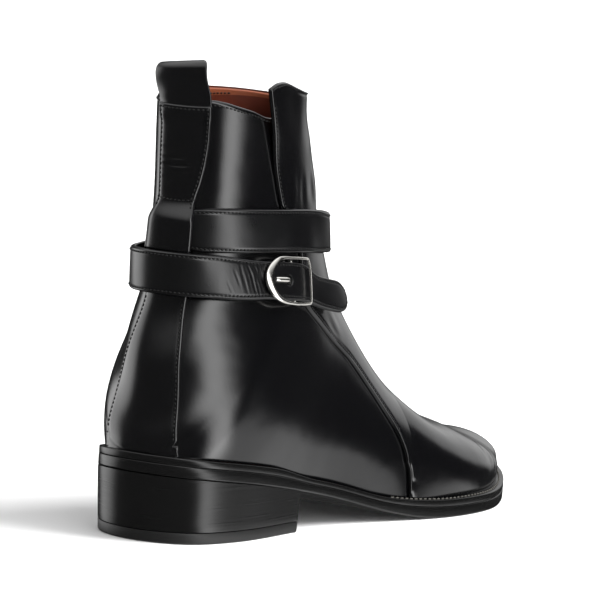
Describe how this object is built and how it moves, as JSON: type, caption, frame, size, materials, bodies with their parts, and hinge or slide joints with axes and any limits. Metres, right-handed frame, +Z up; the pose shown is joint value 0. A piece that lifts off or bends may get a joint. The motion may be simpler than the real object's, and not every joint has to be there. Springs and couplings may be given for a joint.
{
  "type": "strap boot",
  "caption": "Ankle-high smooth leather dress boot for the right foot, closed by a long strap wound round the ankle and buckled on the outer side, with stacked heel and pull loop.",
  "frame": {"origin": "centre of the boot's length and width, on the floor it stands on", "axes": "+X to the toe, +Y to the inner side of the foot, +Z up"},
  "size_m": [0.296, 0.1062, 0.2074],
  "materials": {
    "sole_leather": "satin, black edge dressing",
    "heel_stack": "satin, black edge dressing",
    "heel_rubber": "matte",
    "insole_leather": "matte, red-brown",
    "upper_calf": "polished smooth calf, black",
    "strap_calf": "polished smooth calf, black",
    "buckle_metal": "polished nickel"
  },
  "bodies": {
    "root": {"outsole": "sole_leather", "welt": "sole_leather", "heel_block": "heel_stack", "heel_top_piece": "heel_rubber", "insole": "insole_leather", "upper": "upper_calf", "front_panel": "upper_calf", "backstay": "upper_calf", "strap": "strap_calf", "pull_loop": "strap_calf", "buckle_frame": "buckle_metal", "buckle_pin": "buckle_metal", "buckle_prong": "buckle_metal"}
  },
  "joints": []
}
